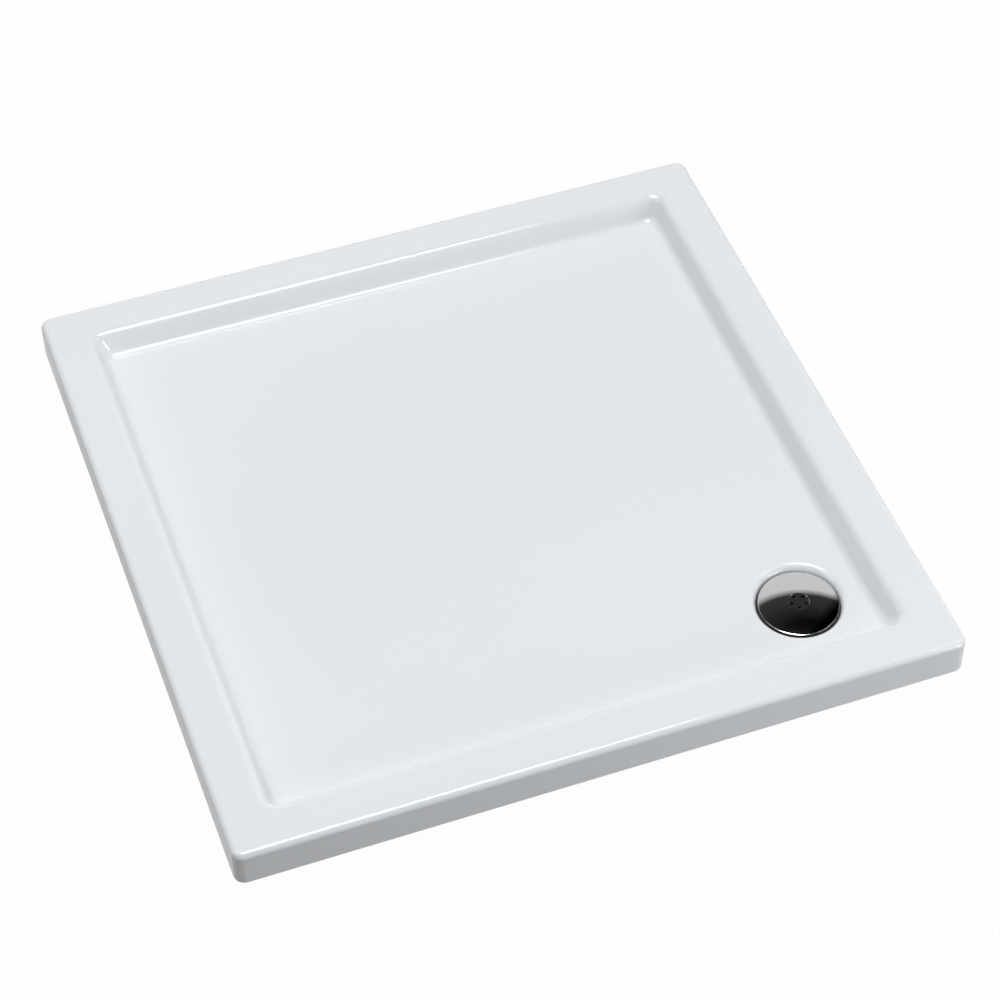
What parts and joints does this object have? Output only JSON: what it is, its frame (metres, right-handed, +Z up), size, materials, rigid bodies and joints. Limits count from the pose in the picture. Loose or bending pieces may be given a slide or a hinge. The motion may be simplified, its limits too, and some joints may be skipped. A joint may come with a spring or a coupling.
{
  "type": "shower tray",
  "caption": "Square low-rise acrylic shower tray: raised rim, floor falling to a corner sump, chrome waste cap, lift-out trap insert and adjustable feet.",
  "frame": {"origin": "on the floor under the middle of the tray, with the feet run right in", "axes": "+Z up, -Y the front and +X the right; the drain is in the front right corner"},
  "size_m": [0.9, 0.9, 0.1405],
  "materials": {
    "acrylic_white": "polished sanitary acrylic",
    "glass_fibre_resin": "sprayed glass fibre and resin, rough",
    "chipboard": "raw chipboard",
    "batten_wood": "sawn softwood",
    "black_nylon": "moulded, fine grain",
    "zinc_steel": "bright zinc plate",
    "stainless_steel": "satin",
    "seal_rubber": "soft, matt",
    "white_polypropylene": "moulded, satin",
    "grey_polypropylene": "moulded, satin",
    "chrome_plate": "mirror"
  },
  "bodies": {
    "tray": {"base_board": "chipboard", "foot_lock_nuts": "zinc_steel", "foot_socket_back_left": "black_nylon", "foot_socket_back_right": "black_nylon", "foot_socket_centre": "black_nylon", "foot_socket_drain_back": "black_nylon", "foot_socket_drain_left": "black_nylon", "foot_socket_front_left": "black_nylon", "outlet_cone_seal": "seal_rubber", "outlet_slip_nut": "white_polypropylene", "reinforcement_laminate": "glass_fibre_resin", "rim_batten_back": "batten_wood", "rim_batten_front": "batten_wood", "rim_batten_left": "batten_wood", "rim_batten_right": "batten_wood", "socket_screws": "zinc_steel", "trap_body": "white_polypropylene", "tray_shell": "acrylic_white", "waste_clamp_ring": "stainless_steel", "waste_clamp_screws": "stainless_steel", "waste_lower_gasket": "seal_rubber", "waste_upper_gasket": "seal_rubber"},
    "insert": {"insert_dip_tube": "grey_polypropylene", "insert_seal_ring": "seal_rubber", "insert_seal_cup": "grey_polypropylene"},
    "cap": {"cap_cover": "chrome_plate", "cap_holder": "grey_polypropylene"},
    "elbow": {"outlet_elbow": "white_polypropylene"},
    "foot_front_left": {"foot_stud_front_left": "zinc_steel", "foot_pad_front_left": "black_nylon"},
    "foot_back_left": {"foot_stud_back_left": "zinc_steel", "foot_pad_back_left": "black_nylon"},
    "foot_back_right": {"foot_stud_back_right": "zinc_steel", "foot_pad_back_right": "black_nylon"},
    "foot_centre": {"foot_stud_centre": "zinc_steel", "foot_pad_centre": "black_nylon"},
    "foot_drain_left": {"foot_stud_drain_left": "zinc_steel", "foot_pad_drain_left": "black_nylon"},
    "foot_drain_back": {"foot_stud_drain_back": "zinc_steel", "foot_pad_drain_back": "black_nylon"}
  },
  "joints": [
    {"name": "insert_lift", "type": "slide", "parent": "tray", "child": "insert", "axis": [0, 0, 1], "range_m": [0, 0.09]},
    {"name": "cap_lift", "type": "slide", "parent": "insert", "child": "cap", "axis": [0, 0, 1], "range_m": [0, 0.06]},
    {"name": "elbow_swivel", "type": "hinge", "parent": "tray", "child": "elbow", "pos_m": [0.29852, -0.30052, 0.0475], "axis": [-0.7071, 0.7071, 0], "range_deg": [-20, 20]},
    {"name": "foot_front_left_adjust", "type": "slide", "parent": "tray", "child": "foot_front_left", "axis": [0, 0, -1], "range_m": [0, 0.03]},
    {"name": "foot_back_left_adjust", "type": "slide", "parent": "tray", "child": "foot_back_left", "axis": [0, 0, -1], "range_m": [0, 0.03]},
    {"name": "foot_back_right_adjust", "type": "slide", "parent": "tray", "child": "foot_back_right", "axis": [0, 0, -1], "range_m": [0, 0.03]},
    {"name": "foot_centre_adjust", "type": "slide", "parent": "tray", "child": "foot_centre", "axis": [0, 0, -1], "range_m": [0, 0.03]},
    {"name": "foot_drain_left_adjust", "type": "slide", "parent": "tray", "child": "foot_drain_left", "axis": [0, 0, -1], "range_m": [0, 0.03]},
    {"name": "foot_drain_back_adjust", "type": "slide", "parent": "tray", "child": "foot_drain_back", "axis": [0, 0, -1], "range_m": [0, 0.03]}
  ]
}
